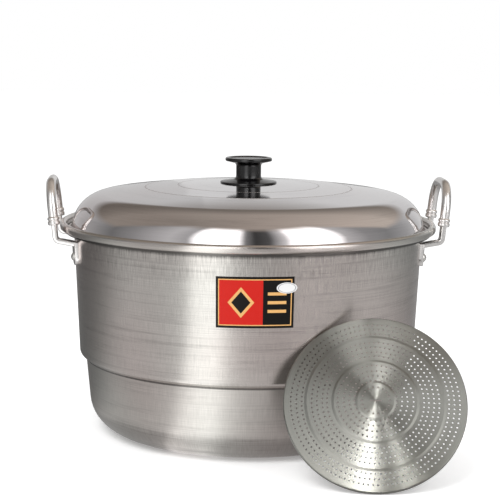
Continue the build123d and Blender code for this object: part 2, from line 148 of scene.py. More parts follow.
# Aluminium turned on a lathe: its rings follow the piece's own UV.
# The tool's real rings, about 0.2 mm apart, are too fine to show, so they are drawn as far apart as ringGap.
def turnedMetal(name, colour, look):
    material, tree = newMaterial(name)
    skin = skinParts(tree)
    place = addNode(tree, "ShaderNodeTexCoord").outputs["Object"]
    height = addNode(tree, "ShaderNodeSeparateXYZ", _0=place).outputs[2]
    rings = skinNoise(tree, skin, look["ringCells"], look["ringGap"], 3.0, 0.6)
    cloud = objectNoise(tree, place, look["cloudSize"], 4.0, 0.6)
    streaks = skinNoise(tree, skin, streakCells, look["streakGap"], 5.0, 0.7)
    streaks = addNode(
        tree, "ShaderNodeMapRange", _0=streaks, _1=0.52, _2=0.72, _3=0.0, _4=look["streakTone"]
    ).outputs[0]
    tone = math(tree, "MULTIPLY", rings, look["ringTone"])
    tone = math(tree, "ADD", tone, math(tree, "MULTIPLY", cloud, look["cloudTone"]))
    tone = math(tree, "ADD", tone, streaks)
    rough = math(tree, "ADD", look["rough"], math(tree, "MULTIPLY", cloud, look["roughSpread"]))
    if "chatterTone" in look:
        tone = markedTone(tree, skin, height, tone, look)
        low = math(tree, "LESS_THAN", height, wallMarks["dullHead"] * mm)
        rough = math(tree, "ADD", rough, math(tree, "MULTIPLY", low, look["lowerRough"]))
    for crease in look.get("creases", ()):
        flat = addNode(tree, "ShaderNodeVectorMath", {"operation": "MULTIPLY"}, _0=place, _1=(1.0, 1.0, 0.0))
        reach = addNode(tree, "ShaderNodeVectorMath", {"operation": "LENGTH"}, _0=flat.outputs[0])
        away = math(tree, "ABSOLUTE", math(tree, "SUBTRACT", reach.outputs["Value"], crease * mm))
        near = math(tree, "LESS_THAN", away, look["creaseHalf"] * mm)
        rough = math(tree, "ADD", rough, math(tree, "MULTIPLY", near, look["creaseRough"]))
    drift = objectNoise(tree, place, tintCloud, 1.0)
    tint = addNode(tree, "ShaderNodeMapRange", _0=drift, _1=0.35, _2=0.65, _3=0.0, _4=1.0).outputs[0]
    metal = addNode(
        tree, "ShaderNodeMix", {"data_type": "RGBA"}, _0=tint, _6=linear(colour), _7=linear(look["tint"])
    ).outputs[2]
    base = addNode(
        tree, "ShaderNodeMix", {"data_type": "RGBA", "blend_type": "MULTIPLY"},
        _0=1.0, _6=metal, _7=math(tree, "SUBTRACT", 1.0, tone),
    ).outputs[2]
    bump = addNode(
        tree, "ShaderNodeBump", Strength=look["bump"], Distance=grooveDepth * mm, Height=rings
    ).outputs[0]
    tangent = addNode(tree, "ShaderNodeTangent", {"direction_type": "UV_MAP", "uv_map": "skin"}).outputs[0]
    shader = addNode(
        tree, "ShaderNodeBsdfPrincipled", Base_Color=base, Metallic=1.0, Roughness=rough,
        Anisotropic=look["anisotropic"], Anisotropic_Rotation=0.25, Normal=bump, Tangent=tangent,
    )
    return finishMaterial(material, tree, shader)


castCloud = 6.25  # mm, in which a plain face's gloss changes


# Cast, headed or stamped metal with a satin face, and plain plastic
def plainMaterial(name, colour, metallic, roughness, spread=0.08):
    material, tree = newMaterial(name)
    place = addNode(tree, "ShaderNodeTexCoord").outputs["Object"]
    cloud = objectNoise(tree, place, castCloud, 3.0)
    rough = math(tree, "ADD", roughness, math(tree, "MULTIPLY", math(tree, "SUBTRACT", cloud, 0.5), spread))
    shader = addNode(
        tree, "ShaderNodeBsdfPrincipled", Base_Color=linear(colour), Metallic=metallic, Roughness=rough
    )
    return finishMaterial(material, tree, shader)


# Printed film: a dark ground, a pale keyline, one red field, a lozenge and three bars, in shares of the label
labelPrint = {
    "dark": "#0A0807", "cream": "#C99B60", "red": "#B2170D",
    "keyline": (0.03, 0.97, 0.045, 0.955), "ground": (0.043, 0.957, 0.065, 0.935),
    "redField": (0.043, 0.6, 0.065, 0.935),
    "lozenge": (0.32, 0.5), "lozengeHalf": (0.17, 0.3), "lozengeInner": 0.72,
    "bars": (0.3, 0.47, 0.64), "barSpan": (0.66, 0.9), "barTall": 0.06,
}


def labelMaterial(name):
    material, tree = newMaterial(name)
    skin = skinParts(tree)

    def inside(left, right, low, high):
        shares = []
        for part, least, most in ((skin.outputs[0], left, right), (skin.outputs[1], low, high)):
            past = math(tree, "GREATER_THAN", part, least)
            shares.append(math(tree, "MULTIPLY", past, math(tree, "LESS_THAN", part, most)))
        return math(tree, "MULTIPLY", shares[0], shares[1])

    def over(under, mask, ink):
        ink = linear(labelPrint[ink])
        return addNode(tree, "ShaderNodeMix", {"data_type": "RGBA"}, _0=mask, _6=under, _7=ink).outputs[2]

    colour = over(linear(labelPrint["dark"]), inside(*labelPrint["keyline"]), "cream")
    colour = over(colour, inside(*labelPrint["ground"]), "dark")
    colour = over(colour, inside(*labelPrint["redField"]), "red")
    away = []
    for i in (0, 1):
        distance = math(tree, "ABSOLUTE", math(tree, "SUBTRACT", skin.outputs[i], labelPrint["lozenge"][i]))
        away.append(math(tree, "DIVIDE", distance, labelPrint["lozengeHalf"][i]))
    reach = math(tree, "ADD", away[0], away[1])
    colour = over(colour, math(tree, "LESS_THAN", reach, 1.0), "cream")
    colour = over(colour, math(tree, "LESS_THAN", reach, labelPrint["lozengeInner"]), "dark")
    for low in labelPrint["bars"]:
        colour = over(colour, inside(*labelPrint["barSpan"], low, low + labelPrint["barTall"]), "cream")
    shader = addNode(
        tree, "ShaderNodeBsdfPrincipled", Base_Color=colour, Roughness=0.32, Specular_IOR_Level=0.2
    )
    return finishMaterial(material, tree, shader)


# Paper sticker with one thin printed line inside its edge
stickerPrint = {"paper": "#CFCFCF", "line": "#6E6E74", "lineInner": 0.4, "lineOuter": 0.435}


def stickerMaterial(name):
    material, tree = newMaterial(name)
    skin = skinParts(tree)
    away = [math(tree, "SUBTRACT", skin.outputs[i], 0.5) for i in (0, 1)]
    squares = [math(tree, "MULTIPLY", distance, distance) for distance in away]
    reach = math(tree, "SQRT", math(tree, "ADD", squares[0], squares[1]))
    outside = math(tree, "GREATER_THAN", reach, stickerPrint["lineInner"])
    line = math(tree, "MULTIPLY", outside, math(tree, "LESS_THAN", reach, stickerPrint["lineOuter"]))
    colour = addNode(
        tree, "ShaderNodeMix", {"data_type": "RGBA"},
        _0=line, _6=linear(stickerPrint["paper"]), _7=linear(stickerPrint["line"]),
    ).outputs[2]
    shader = addNode(tree, "ShaderNodeBsdfPrincipled", Base_Color=colour, Roughness=0.6)
    return finishMaterial(material, tree, shader)


# Spun on a lathe and left as it came: fine rings, and reflections drawn out up and down the wall
wallMetal = turnedMetal("spun aluminium, satin", "#DEDCD6", {
    "ringCells": 5.0, "ringGap": 0.6667, "ringTone": 0.34, "cloudSize": 111.1, "cloudTone": 0.14,
    # the rim's dark band is painted shade under the bead
    "streakGap": 6.667, "streakTone": 0.17, "chatterTone": 0.2, "rimShade": 0.6, "stepShade": 0.45,
    "baseShade": 0.3, "tint": "#E5D8D3", "rough": 0.19, "roughSpread": 0.12, "lowerRough": 0.14, "bump": 0.2,
    "anisotropic": 0.7,
})
# Polished after turning: nearly a mirror, with two dull creases round the knob
lidMetal = turnedMetal("turned aluminium, polished", "#E8E5E6", {
    "ringCells": 4.0, "ringGap": 1.111, "ringTone": 0.12, "cloudSize": 142.9, "cloudTone": 0.1,
    "streakGap": 16.67, "streakTone": 0.12, "creases": (75.0, 110.0), "creaseHalf": 0.9, "creaseRough": 0.3,
    "tint": "#E4DCDC", "rough": 0.04, "roughSpread": 0.06, "bump": 0.03, "anisotropic": 0.5,
})
# Pressed and faced on a lathe: a grey sheen that fans out from the middle
plateMetal = turnedMetal("pressed aluminium, satin", "#8E8D86", {
    "ringCells": 6.0, "ringGap": 1.111, "ringTone": 0.2, "cloudSize": 71.43, "cloudTone": 0.15,
    "streakGap": 11.11, "streakTone": 0.1,
    "tint": "#8A8A85", "rough": 0.27, "roughSpread": 0.04, "bump": 0.0, "anisotropic": 0.95,
})
handleMetal = plainMaterial("cast aluminium, satin", "#EDEAE8", 1.0, 0.26)  # pale, with soft glints
rivetMetal = plainMaterial("headed aluminium, bright", "#DAD8D4", 1.0, 0.25)  # a smooth, bright dome
knobPlastic = plainMaterial("phenolic plastic, black gloss", "#080708", 0.0, 0.2, 0.03)  # black, sharp glints
brassMetal = plainMaterial("turned brass", "#C49A55", 1.0, 0.3)  # yellow and softly bright
steelMetal = plainMaterial("zinc-plated steel", "#B5B6B8", 1.0, 0.32)  # blue-grey and a little dull
labelFilm = labelMaterial("printed film, semi-gloss")  # flat inks under a faint gloss
stickerPaper = stickerMaterial("coated paper, matt")  # white without a glint
print("materials made")


arcStep = radians(7)  # turn between two points of an arc
sharpTurn = 32.0  # degrees between two faces from which their edge is sharp
leastBend = 0.3  # of a sheet's inner corner, in mm


# Replaces each corner of a path of (r, z, bend radius) with an arc
def rounded(path):
    points = []
    for i, (r, z, radius) in enumerate(path):
        corner = Vector((r, z))
        if radius <= 0 or i in (0, len(path) - 1):
            points.append(corner)
            continue
        back = (Vector(path[i - 1][:2]) - corner).normalized()
        ahead = (Vector(path[i + 1][:2]) - corner).normalized()
        half = back.angle(ahead) / 2
        centre = corner + (back + ahead).normalized() * radius / sin(half)
        start = corner + back * radius / tan(half) - centre
        end = corner + ahead * radius / tan(half) - centre
        turn = start.angle_signed(end)
        steps = max(3, int(abs(turn) / arcStep) + 1)
        for k in range(steps + 1):
            angle = -turn * k / steps
            points.append(centre + Vector((
                start.x * cos(angle) - start.y * sin(angle), start.x * sin(angle) + start.y * cos(angle)
            )))
    return [(p.x, p.y) for p in points]


# The other face of a sheet: the path moved sideways by the wall, to its left if the wall is positive
def parallel(path, wall):
    moved = []
    for i, (r, z, radius) in enumerate(path):
        corner = Vector((r, z))
        sides = []
        if i > 0:
            sides.append((corner - Vector(path[i - 1][:2])).normalized())
        if i < len(path) - 1:
            sides.append((Vector(path[i + 1][:2]) - corner).normalized())
        normals = [Vector((-s.y, s.x)) for s in sides]
        if len(normals) == 1:
            spot, fresh = corner + normals[0] * wall, 0.0
        else:
            middle = (normals[0] + normals[1]).normalized()
            spot = corner + middle * wall / middle.dot(normals[0])
            bend = sides[0].x * sides[1].y - sides[0].y * sides[1].x
            fresh = 0.0 if radius <= 0 else max(leastBend, radius - wall if bend > 0 else radius + wall)
        moved.append((spot.x, spot.y, fresh))
    return moved


def meshObject(name, verts, faces, uvs, material, matrix=None, sharp=sharpTurn):
    mesh = bpy.data.meshes.new(name)
    mesh.from_pydata([Vector(v) * mm for v in verts], [], faces)
    layer = mesh.uv_layers.new(name="skin")
    for loop, uv in zip(layer.data, uvs):
        loop.uv = uv
    mesh.materials.append(material)
    mesh.shade_smooth()
    mesh.set_sharp_from_angle(angle=radians(sharp))
    if matrix is not None:
        mesh.transform(matrix)
        if matrix.to_3x3().determinant() < 0:
            mesh.flip_normals()
    mesh.update()
    thing = bpy.data.objects.new(name, mesh)
    bpy.context.scene.collection.objects.link(thing)
    return thing


# Turns a closed outline of (r, z) in mm about Z; an outline that starts and ends on the axis closes itself
def turned(name, outline, material, steps=256, matrix=None):
    verts, faces, uvs, rows, travel = [], [], [], [], 0.0
    for i, (r, z) in enumerate(outline):
        if i:
            travel += hypot(r - outline[i - 1][0], z - outline[i - 1][1])
        if r < 1e-6:
            rows.append(([len(verts)] * steps, travel * mm))
            verts.append((0.0, 0.0, z))
        else:
            rows.append((list(range(len(verts), len(verts) + steps)), travel * mm))
            verts += [(r * cos(2 * pi * k / steps), r * sin(2 * pi * k / steps), z) for k in range(steps)]
    onAxis = outline[0][0] < 1e-6
    pairs = list(zip(rows, rows[1:])) if onAxis else list(zip(rows, rows[1:] + rows[:1]))
    for (low, lowTravel), (high, highTravel) in pairs:
        for k in range(steps):
            n = (k + 1) % steps
            corners = [
                (low[k], k, lowTravel), (low[n], k + 1, lowTravel),
                (high[n], k + 1, highTravel), (high[k], k, highTravel),
            ]
            if low[k] == low[n]:
                corners.pop(1)
            elif high[k] == high[n]:
                corners.pop(2)
            if len({c[0] for c in corners}) < 3:
                continue
            faces.append([c[0] for c in corners])
            uvs += [(c[1] / steps, c[2]) for c in corners]
    return meshObject(name, verts, faces, uvs, material, matrix)


# Sweeps a section of (along the plane's normal, across the path) along points in one plane
def swept(name, points, normal, section, material, matrix=None, sharp=sharpTurn):
    normal = Vector(normal).normalized()
    points = [Vector(p) for p in points]
    verts, faces, uvs, travel = [], [], [], [0.0]
    for i, point in enumerate(points):
        back = points[i] - points[i - 1] if i else points[1] - points[0]
        ahead = points[i + 1] - points[i] if i < len(points) - 1 else back
        tangent = (back.normalized() + ahead.normalized()).normalized()
        side = tangent.cross(normal)
        verts += [point + normal * a + side * b for a, b in section]
        if i:
            travel.append(travel[-1] + back.length)
    count = len(section)
    for i in range(len(points) - 1):
        for k in range(count):
            n = (k + 1) % count
            faces.append([i * count + k, i * count + n, (i + 1) * count + n, (i + 1) * count + k])
            uvs += [
                (k / count, travel[i] * mm), ((k + 1) / count, travel[i] * mm),
                ((k + 1) / count, travel[i + 1] * mm), (k / count, travel[i + 1] * mm),
            ]
    last = (len(points) - 1) * count
    faces.append(list(range(count))[::-1])
    faces.append(list(range(last, last + count)))
    uvs += [(0.5, 0.5)] * (2 * count)
    return meshObject(name, verts, faces, uvs, material, matrix, sharp)


def ellipse(halfWidth, halfHeight, count=64):
    return [(halfWidth * cos(2 * pi * k / count), halfHeight * sin(2 * pi * k / count)) for k in range(count)]


def softRectangle(width, height, radius):
    points = []
    for cx, cy, start in ((1, 1, 0), (-1, 1, 90), (-1, -1, 180), (1, -1, 270)):
        for k in range(4):
            angle = radians(start + 30 * k)
            x = cx * (width / 2 - radius) + radius * cos(angle)
            points.append((x, cy * (height / 2 - radius) + radius * sin(angle)))
    return points


# Radius of the upper wall's outer skin at a height
def skinRadius(height):
    slope = (levels["neckRadius"] - levels["stepHeadRadius"]) / (levels["neck"] - levels["stepHead"])
    return levels["stepHeadRadius"] + (height - levels["stepHead"]) * slope


# A place on the upper wall: X up the wall, Y along it, Z outwards
def wallMatrix(turn, height):
    lean = atan2(levels["neckRadius"] - levels["stepHeadRadius"], levels["neck"] - levels["stepHead"])
    out = Vector((cos(turn), sin(turn), 0))
    normal = out * cos(lean) - Vector((0, 0, sin(lean)))
    up = out * sin(lean) + Vector((0, 0, cos(lean)))
    spot = (out * skinRadius(height) + Vector((0, 0, height))) * mm
    side = normal.cross(up)
    return Matrix((
        (up.x, side.x, normal.x, spot.x), (up.y, side.y, normal.y, spot.y),
        (up.z, side.z, normal.z, spot.z), (0, 0, 0, 1),
    ))


pot = {  # in mm, each bend a radius at the outer skin
    "base": 165.2, "corner": 38.7, "wall": 1.8, "rim": 200.0, "top": 224.8, "shelf": 195.0,
    "stepFootBend": 2.0, "stepHeadBend": 5.0, "neckBend": 1.2, "seatBend": 0.8,
    "beadWidth": 6.8, "beadFoot": 216.3, "beadFootBend": 2.6, "beadBend": 3.3,
}
skin = [
    (0, 0, 0), (pot["base"], 0, pot["corner"]),
    (levels["stepFootRadius"], levels["stepFoot"], pot["stepFootBend"]),
    (levels["stepHeadRadius"], levels["stepHead"], pot["stepHeadBend"]),
    (levels["neckRadius"], levels["neck"], pot["neckBend"]), (pot["shelf"], levels["neck"], 0),
]
lining = parallel(skin, pot["wall"])
beadInner = pot["rim"] - pot["beadWidth"]
outline = rounded(skin + [
    (pot["shelf"], pot["beadFoot"], 0), (pot["rim"], pot["beadFoot"], pot["beadFootBend"]),
    (pot["rim"], pot["top"], pot["beadBend"]), (beadInner, pot["top"], pot["beadBend"]),
    (beadInner, levels["seat"], pot["seatBend"]),
] + lining[-2::-1])
potBody = turned("potBody", outline, wallMetal)
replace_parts(potBody, "pot_body")
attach(potBody, "pot")
print("pot made")

lid = {  # in mm, and its two slopes in degrees
    "top": 264.7, "disc": 32.0, "crease": 72.0, "creaseHeight": 262.45, "ring": 110.0, "ringHeight": 259.9,
    "bend": 1.5, "brow": 37.3, "wall": 1.5, "edge": 191.8,
    "flange": 217.3, "flangeWidth": 2.8, "flangeBend": 1.8, "sideLean": 16.6, "crownSlope": 7.3,
}
lid["side"] = lid["edge"] - lid["flangeWidth"]
sideLean, crownFall = tan(radians(lid["sideLean"])), tan(radians(lid["crownSlope"]))
crownRise = lid["ringHeight"] + lid["ring"] * crownFall - lid["flange"]
browRadius = (lid["side"] - crownRise * sideLean) / (1 - crownFall * sideLean)  # where crown and side meet
browHeight = lid["ringHeight"] - (browRadius - lid["ring"]) * crownFall
crown = [
    (0, lid["top"], 0), (lid["disc"], lid["top"], lid["bend"]),
    (lid["crease"], lid["creaseHeight"], lid["bend"]), (lid["ring"], lid["ringHeight"], lid["bend"]),
    (browRadius, browHeight, lid["brow"]),
    (lid["side"], lid["flange"], lid["flangeBend"]), (lid["edge"], lid["flange"], 0),
]
under = parallel(crown, -lid["wall"])
lidShell = turned("lidShell", rounded(under + crown[::-1]), lidMetal)
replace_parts(lidShell, "lid_shell")
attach(lidShell, "lid")
print("lid made")

knob = {  # in mm
    "foot": 30.0, "footEdge": 1.6, "footHeight": 4.2, "waist": 13.3, "top": 24.8, "edge": 3.4, "under": 6.2,
    "height": 27.0, "rimWidth": 3.0, "dishEdge": 5.0, "dish": 1.0, "dishFall": 0.3,
    "footBend": 0.4, "footEdgeBend": 0.7, "waistFootBend": 4.5, "waistHeadBend": 3.5, "topBend": 1.4,
    "bend": 1.0,
}
knobTop = lid["top"] + knob["height"]
dishHeight = knobTop - knob["dish"]
lidKnob = turned("lidKnob", rounded([
    (0, lid["top"], 0), (knob["foot"], lid["top"], knob["footBend"]),
    (knob["foot"], lid["top"] + knob["footEdge"], knob["footEdgeBend"]),
    (knob["waist"], lid["top"] + knob["footHeight"], knob["waistFootBend"]),
    (knob["waist"], knobTop - knob["under"], knob["waistHeadBend"]),
    (knob["top"], knobTop - knob["edge"], knob["bend"]), (knob["top"], knobTop, knob["topBend"]),
    (knob["top"] - knob["rimWidth"], knobTop, knob["bend"]),
    (knob["top"] - knob["dishEdge"], dishHeight, knob["bend"]), (0, dishHeight - knob["dishFall"], 0),
]), knobPlastic, steps=160)
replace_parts(lidKnob, "lid_knob")
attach(lidKnob, "lid")
print("knob made")

handle = {  # in mm, but for the lean
    "spacing": 80.0, "reach": 204.5, "lean": radians(6.0), "bar": 5.0, "loop": 38.0, "corner": 27.0,
    "collarHeight": 228.0, "collar": 6.3, "collarLength": 9.0, "collarNeck": 0.8,
    "legWidth": 11.0, "legThickness": 5.5, "legBend": 1.2, "elbow": 204.5, "elbowBend": 5.0,
    "strapFoot": 200.5, "strapEnd": 179.5,
    "lug": 4.0, "lugWidth": 15.0, "lugEdge": 9.0, "lugHead": 15.0, "lugSunk": 0.15,
}


def joined(name, pieces):
    with bpy.context.temp_override(
        active_object=pieces[0], selected_objects=pieces, selected_editable_objects=pieces, object=pieces[0]
    ):
        bpy.ops.object.join()
    pieces[0].name = name
    return pieces[0]


# A turned collar, with a groove round its middle, where a leg meets the round bar
def makeCollar(matrix):
    tall, wide = handle["collarLength"] / 2, handle["collar"]
    neck = wide - handle["collarNeck"]
    return turned("collar", rounded([
        (0, -tall, 0), (wide - 0.6, -tall, 0.5), (wide, -tall + 1.2, 0.8), (wide, -0.9, 0.5),
        (neck, -0.2, 0.3), (neck, 0.6, 0.3), (wide, 1.2, 0.5), (wide, tall - 1.4, 1.0),
        (handle["bar"] - 0.2, tall, 0), (0, tall, 0),
    ]), handleMetal, steps=48, matrix=matrix)


# A lug flat on the wall: straight at its head, half an ellipse at its foot, its face softened at the edge
def makeLug(matrix):
    half = handle["lugWidth"] / 2
    foot = [(handle["lugEdge"] * cos(radians(a)), half * sin(radians(a))) for a in range(90, 271, 10)]
    shape = [(handle["lugHead"], half)] + foot + [(handle["lugHead"], -half)]
    rims = [(0.0, 1.0), (handle["lug"] - 0.7, 1.0), (handle["lug"] - 0.2, 0.965), (handle["lug"], 0.91)]
    verts = [(a * scale, b * scale, z - handle["lugSunk"]) for z, scale in rims for a, b in shape]
    count = len(shape)
    faces = [
        [i * count + k, i * count + (k + 1) % count, (i + 1) * count + (k + 1) % count, (i + 1) * count + k]
        for i in range(len(rims) - 1) for k in range(count)
    ]
    faces += [list(range(count))[::-1], list(range((len(rims) - 1) * count, len(rims) * count))]
    uvs = [(0.0, 0.0)] * sum(len(f) for f in faces)
    return meshObject("lug", verts, faces, uvs, handleMetal, matrix, sharp=40.0)


def makeHandle(name, side):
    mirror = Matrix.Diagonal((side, 1, 1, 1))
    up = Vector((sin(handle["lean"]), 0, cos(handle["lean"])))
    out = Vector((cos(handle["lean"]), 0, -sin(handle["lean"])))
    foot = Vector((handle["reach"], 0, handle["collarHeight"]))
    half = handle["spacing"] / 2
    loop = rounded([
        (-half, 0, 0), (-half, handle["loop"], handle["corner"]),
        (half, handle["loop"], handle["corner"]), (half, 0, 0),
    ])
    route = [foot + Vector((0, a, 0)) + up * b for a, b in loop]
    pieces = [swept("bar", route, out, ellipse(handle["bar"], handle["bar"], 32), handleMetal, mirror)]
    middle = handle["legThickness"] / 2
    elbowReach = handle["reach"] - (handle["collarHeight"] - handle["elbow"] - middle) * tan(handle["lean"])
    path = rounded([
        (handle["reach"], handle["collarHeight"], 0),
        (elbowReach, handle["elbow"] + middle, handle["elbowBend"]),
        (handle["strapEnd"], handle["strapFoot"] + middle, 0),
    ])
    section = softRectangle(handle["legWidth"], handle["legThickness"], handle["legBend"])
    for sign in (-1, 1):
        y = sign * half
        place = Matrix.Translation((foot + Vector((0, y, 0))) * mm) @ Matrix.Rotation(handle["lean"], 4, "Y")
        pieces.append(makeCollar(mirror @ place))
        leg = [(a, y, b) for a, b in path]
        pieces.append(swept("leg", leg, (0, 1, 0), section, handleMetal, mirror, sharp=50.0))
        pieces.append(makeLug(mirror @ wallMatrix(sign * levels["rivetTurn"], levels["rivet"])))
    whole = joined(name, pieces)
    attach(whole, "pot")
    return whole


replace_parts(makeHandle("rightHandle", 1), "right_handle")
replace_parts(makeHandle("leftHandle", -1), "left_handle")
print("handles made")

rivet = {  # in mm, heights from the wall's skin
    "shank": 2.5, "head": 4.6, "rise": 2.8, "seat": 4.0, "sunk": 0.1,
    "tail": 4.2, "tailSeat": -2.95, "tailHeight": 1.6,
}


# Two rivets a side, with a domed head outside and a flat tail inside
def makeRivets(name, side):
    dome = (rivet["head"] ** 2 + rivet["rise"] ** 2) / (2 * rivet["rise"])
    sweep = atan2(rivet["head"], dome - rivet["rise"])
    domeCentre = rivet["seat"] + rivet["rise"] - dome
    cap = [(dome * sin(sweep * k / 8), domeCentre + dome * cos(sweep * k / 8)) for k in range(8, -1, -1)]
    tailEnd = rivet["tailSeat"] - rivet["tailHeight"]
    outline = [
        (0, tailEnd), (rivet["tail"], tailEnd),
        (rivet["tail"], rivet["tailSeat"]), (rivet["shank"], rivet["tailSeat"]),
        (rivet["shank"], rivet["seat"] - rivet["sunk"]), (rivet["head"], rivet["seat"] - rivet["sunk"]),
    ] + cap
    mirror = Matrix.Diagonal((side, 1, 1, 1))
    pieces = []
    for sign in (-1, 1):
        place = wallMatrix(sign * levels["rivetTurn"], levels["rivet"])
        pieces.append(turned("rivet", outline, rivetMetal, steps=40, matrix=mirror @ place))
    whole = joined(name, pieces)
    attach(whole, "pot")
    return whole


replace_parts(makeRivets("rightRivets", 1), "right_rivets")
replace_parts(makeRivets("leftRivets", -1), "left_rivets")
print("rivets made")

plate = {  # in shares of the plate's radius, and of the ring's width and the sheet for the two bends
    "rings": (0.212, 0.463, 0.758), "falls": (0.0, 0.18, 0.38), "ringBend": 0.18, "lipBend": 1.5,
    "rows": (0.15, 0.23, 0.286, 0.345, 0.41, 0.525, 0.575, 0.634, 0.69, 0.797, 0.855, 0.915),
    "pitch": 0.0523, "hole": 0.0104, "holeSides": 10, "slot": (0.13, 0.014),
}


# Punches the rows of holes and the lifting slot through a plate that lies about Z
def punchTree(radius, height):
    tree = bpy.data.node_groups.new("punchedRows", "GeometryNodeTree")
    tree.interface.new_socket("Geometry", in_out="INPUT", socket_type="NodeSocketGeometry")
    sizes = {"Radius": radius, "Hole share": plate["hole"], "Punch height": height}
    identifiers = {}
    for key in sizes:
        socket = tree.interface.new_socket(key, in_out="INPUT", socket_type="NodeSocketFloat")
        identifiers[key] = socket.identifier
    metal = tree.interface.new_socket("Metal", in_out="INPUT", socket_type="NodeSocketMaterial")
    identifiers["Metal"] = metal.identifier
    tree.interface.new_socket("Geometry", in_out="OUTPUT", socket_type="NodeSocketGeometry")
    given = tree.nodes.new("NodeGroupInput")
    holeRadius = math(tree, "MULTIPLY", given.outputs["Radius"], given.outputs["Hole share"])
    rows = tree.nodes.new("GeometryNodeJoinGeometry")
    for share in plate["rows"]:
        circle = addNode(
            tree, "GeometryNodeMeshCircle", Vertices=round(2 * pi * share / plate["pitch"]),
            Radius=math(tree, "MULTIPLY", given.outputs["Radius"], share),
        )
        tree.links.new(circle.outputs[0], rows.inputs[0])
    punch = addNode(
        tree, "GeometryNodeMeshCylinder",
        Vertices=plate["holeSides"], Radius=holeRadius, Depth=given.outputs["Punch height"],
    )
    punches = addNode(tree, "GeometryNodeInstanceOnPoints", Points=rows.outputs[0], Instance=punch.outputs[0])
    long, wide = [math(tree, "MULTIPLY", given.outputs["Radius"], share) for share in plate["slot"]]
    slotSize = addNode(tree, "ShaderNodeCombineXYZ", X=long, Y=wide, Z=given.outputs["Punch height"])
    slotPunch = addNode(tree, "GeometryNodeMeshCube", Size=slotSize.outputs[0])
    realPunches = addNode(tree, "GeometryNodeRealizeInstances", Geometry=punches.outputs[0])
    cutters = tree.nodes.new("GeometryNodeJoinGeometry")
    tree.links.new(realPunches.outputs[0], cutters.inputs[0])
    tree.links.new(slotPunch.outputs[0], cutters.inputs[0])
    cut = addNode(tree, "GeometryNodeMeshBoolean", {"operation": "DIFFERENCE", "solver": "MANIFOLD"})
    tree.links.new(given.outputs["Geometry"], cut.inputs["Mesh 1"])
    tree.links.new(cutters.outputs[0], cut.inputs["Mesh 2"])
    painted = addNode(
        tree, "GeometryNodeSetMaterial", Geometry=cut.outputs[0], Material=given.outputs["Metal"]
    )
    result = tree.nodes.new("NodeGroupOutput")
    tree.links.new(painted.outputs[0], result.inputs[0])
    return tree, identifiers, sizes


# A pressed plate: cones that fall outwards, a joggle at each ring, a lip turned down, and the punched holes
def makePlate(name, size, matrix):
    coneRise = size["rise"] - size["step"] * len(plate["rings"])
    height = size["lip"] + size["rise"]
    bend = size["ring"] * plate["ringBend"]
    top = [(0, height, 0)]
    for share, fall in zip(plate["rings"], plate["falls"]):
        height -= fall * coneRise
        top.append((size["radius"] * share - size["ring"] / 2, height, bend))
        height -= size["step"]
        top.append((size["radius"] * share + size["ring"] / 2, height, bend))
    top += [(size["radius"], size["lip"], size["wall"] * plate["lipBend"]), (size["radius"], 0, 0)]
    thing = turned(name, rounded(parallel(top, -size["wall"]) + top[::-1]), plateMetal, steps=240)
    tree, identifiers, sizes = punchTree(size["radius"] * mm, 4 * (size["lip"] + size["rise"]) * mm)
    punching = thing.modifiers.new("punchedRows", "NODES")
    punching.node_group = tree
    for key, value in sizes.items():
        punching[identifiers[key]] = value
    punching[identifiers["Metal"]] = plateMetal
    depsgraph = bpy.context.evaluated_depsgraph_get()
    mesh = bpy.data.meshes.new_from_object(thing.evaluated_get(depsgraph))
    thing.modifiers.clear()
    thing.data = mesh
    mesh.shade_smooth()
    mesh.set_sharp_from_angle(angle=radians(sharpTurn))
    mesh.transform(matrix)
    print(name, "punched", len(mesh.polygons), "faces")
    return thing


innerSize = {  # in mm
    "radius": 175.5, "wall": 1.2, "rise": 19.0, "lip": 6.0, "step": 1.6, "ring": 4.0,
    "foot": 83.893,  # height at which the lip stands on the step
}
innerPlate = makePlate("innerPlate", innerSize, Matrix.Translation((0, 0, innerSize["foot"] * mm)))
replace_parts(innerPlate, "steamer_plate")
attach(innerPlate, "inner_plate")

frontSize = {
    "radius": 88.0, "wall": 1.0, "rise": 9.5, "lip": 3.5, "step": 0.9, "ring": 2.4,
    "tilt": radians(57.0), "turn": radians(-5.0),
    "place": (112.0, -213.642),  # of its middle, where its back just touches the wall
}
turn, tilt = frontSize["turn"], frontSize["tilt"]
across = Vector((cos(turn), sin(turn), 0))
uphill = Vector((-sin(turn) * cos(tilt), cos(turn) * cos(tilt), sin(tilt)))
facing = across.cross(uphill)
spot = Vector((*frontSize["place"], frontSize["radius"] * sin(tilt))) * mm
frontPlate = makePlate("frontPlate", frontSize, Matrix((
    (across.x, uphill.x, facing.x, spot.x), (across.y, uphill.y, facing.y, spot.y),
    (across.z, uphill.z, facing.z, spot.z), (0, 0, 0, 1),
)))
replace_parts(frontPlate, "front_plate")
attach(frontPlate, "leaning_plate")
print("plates made")


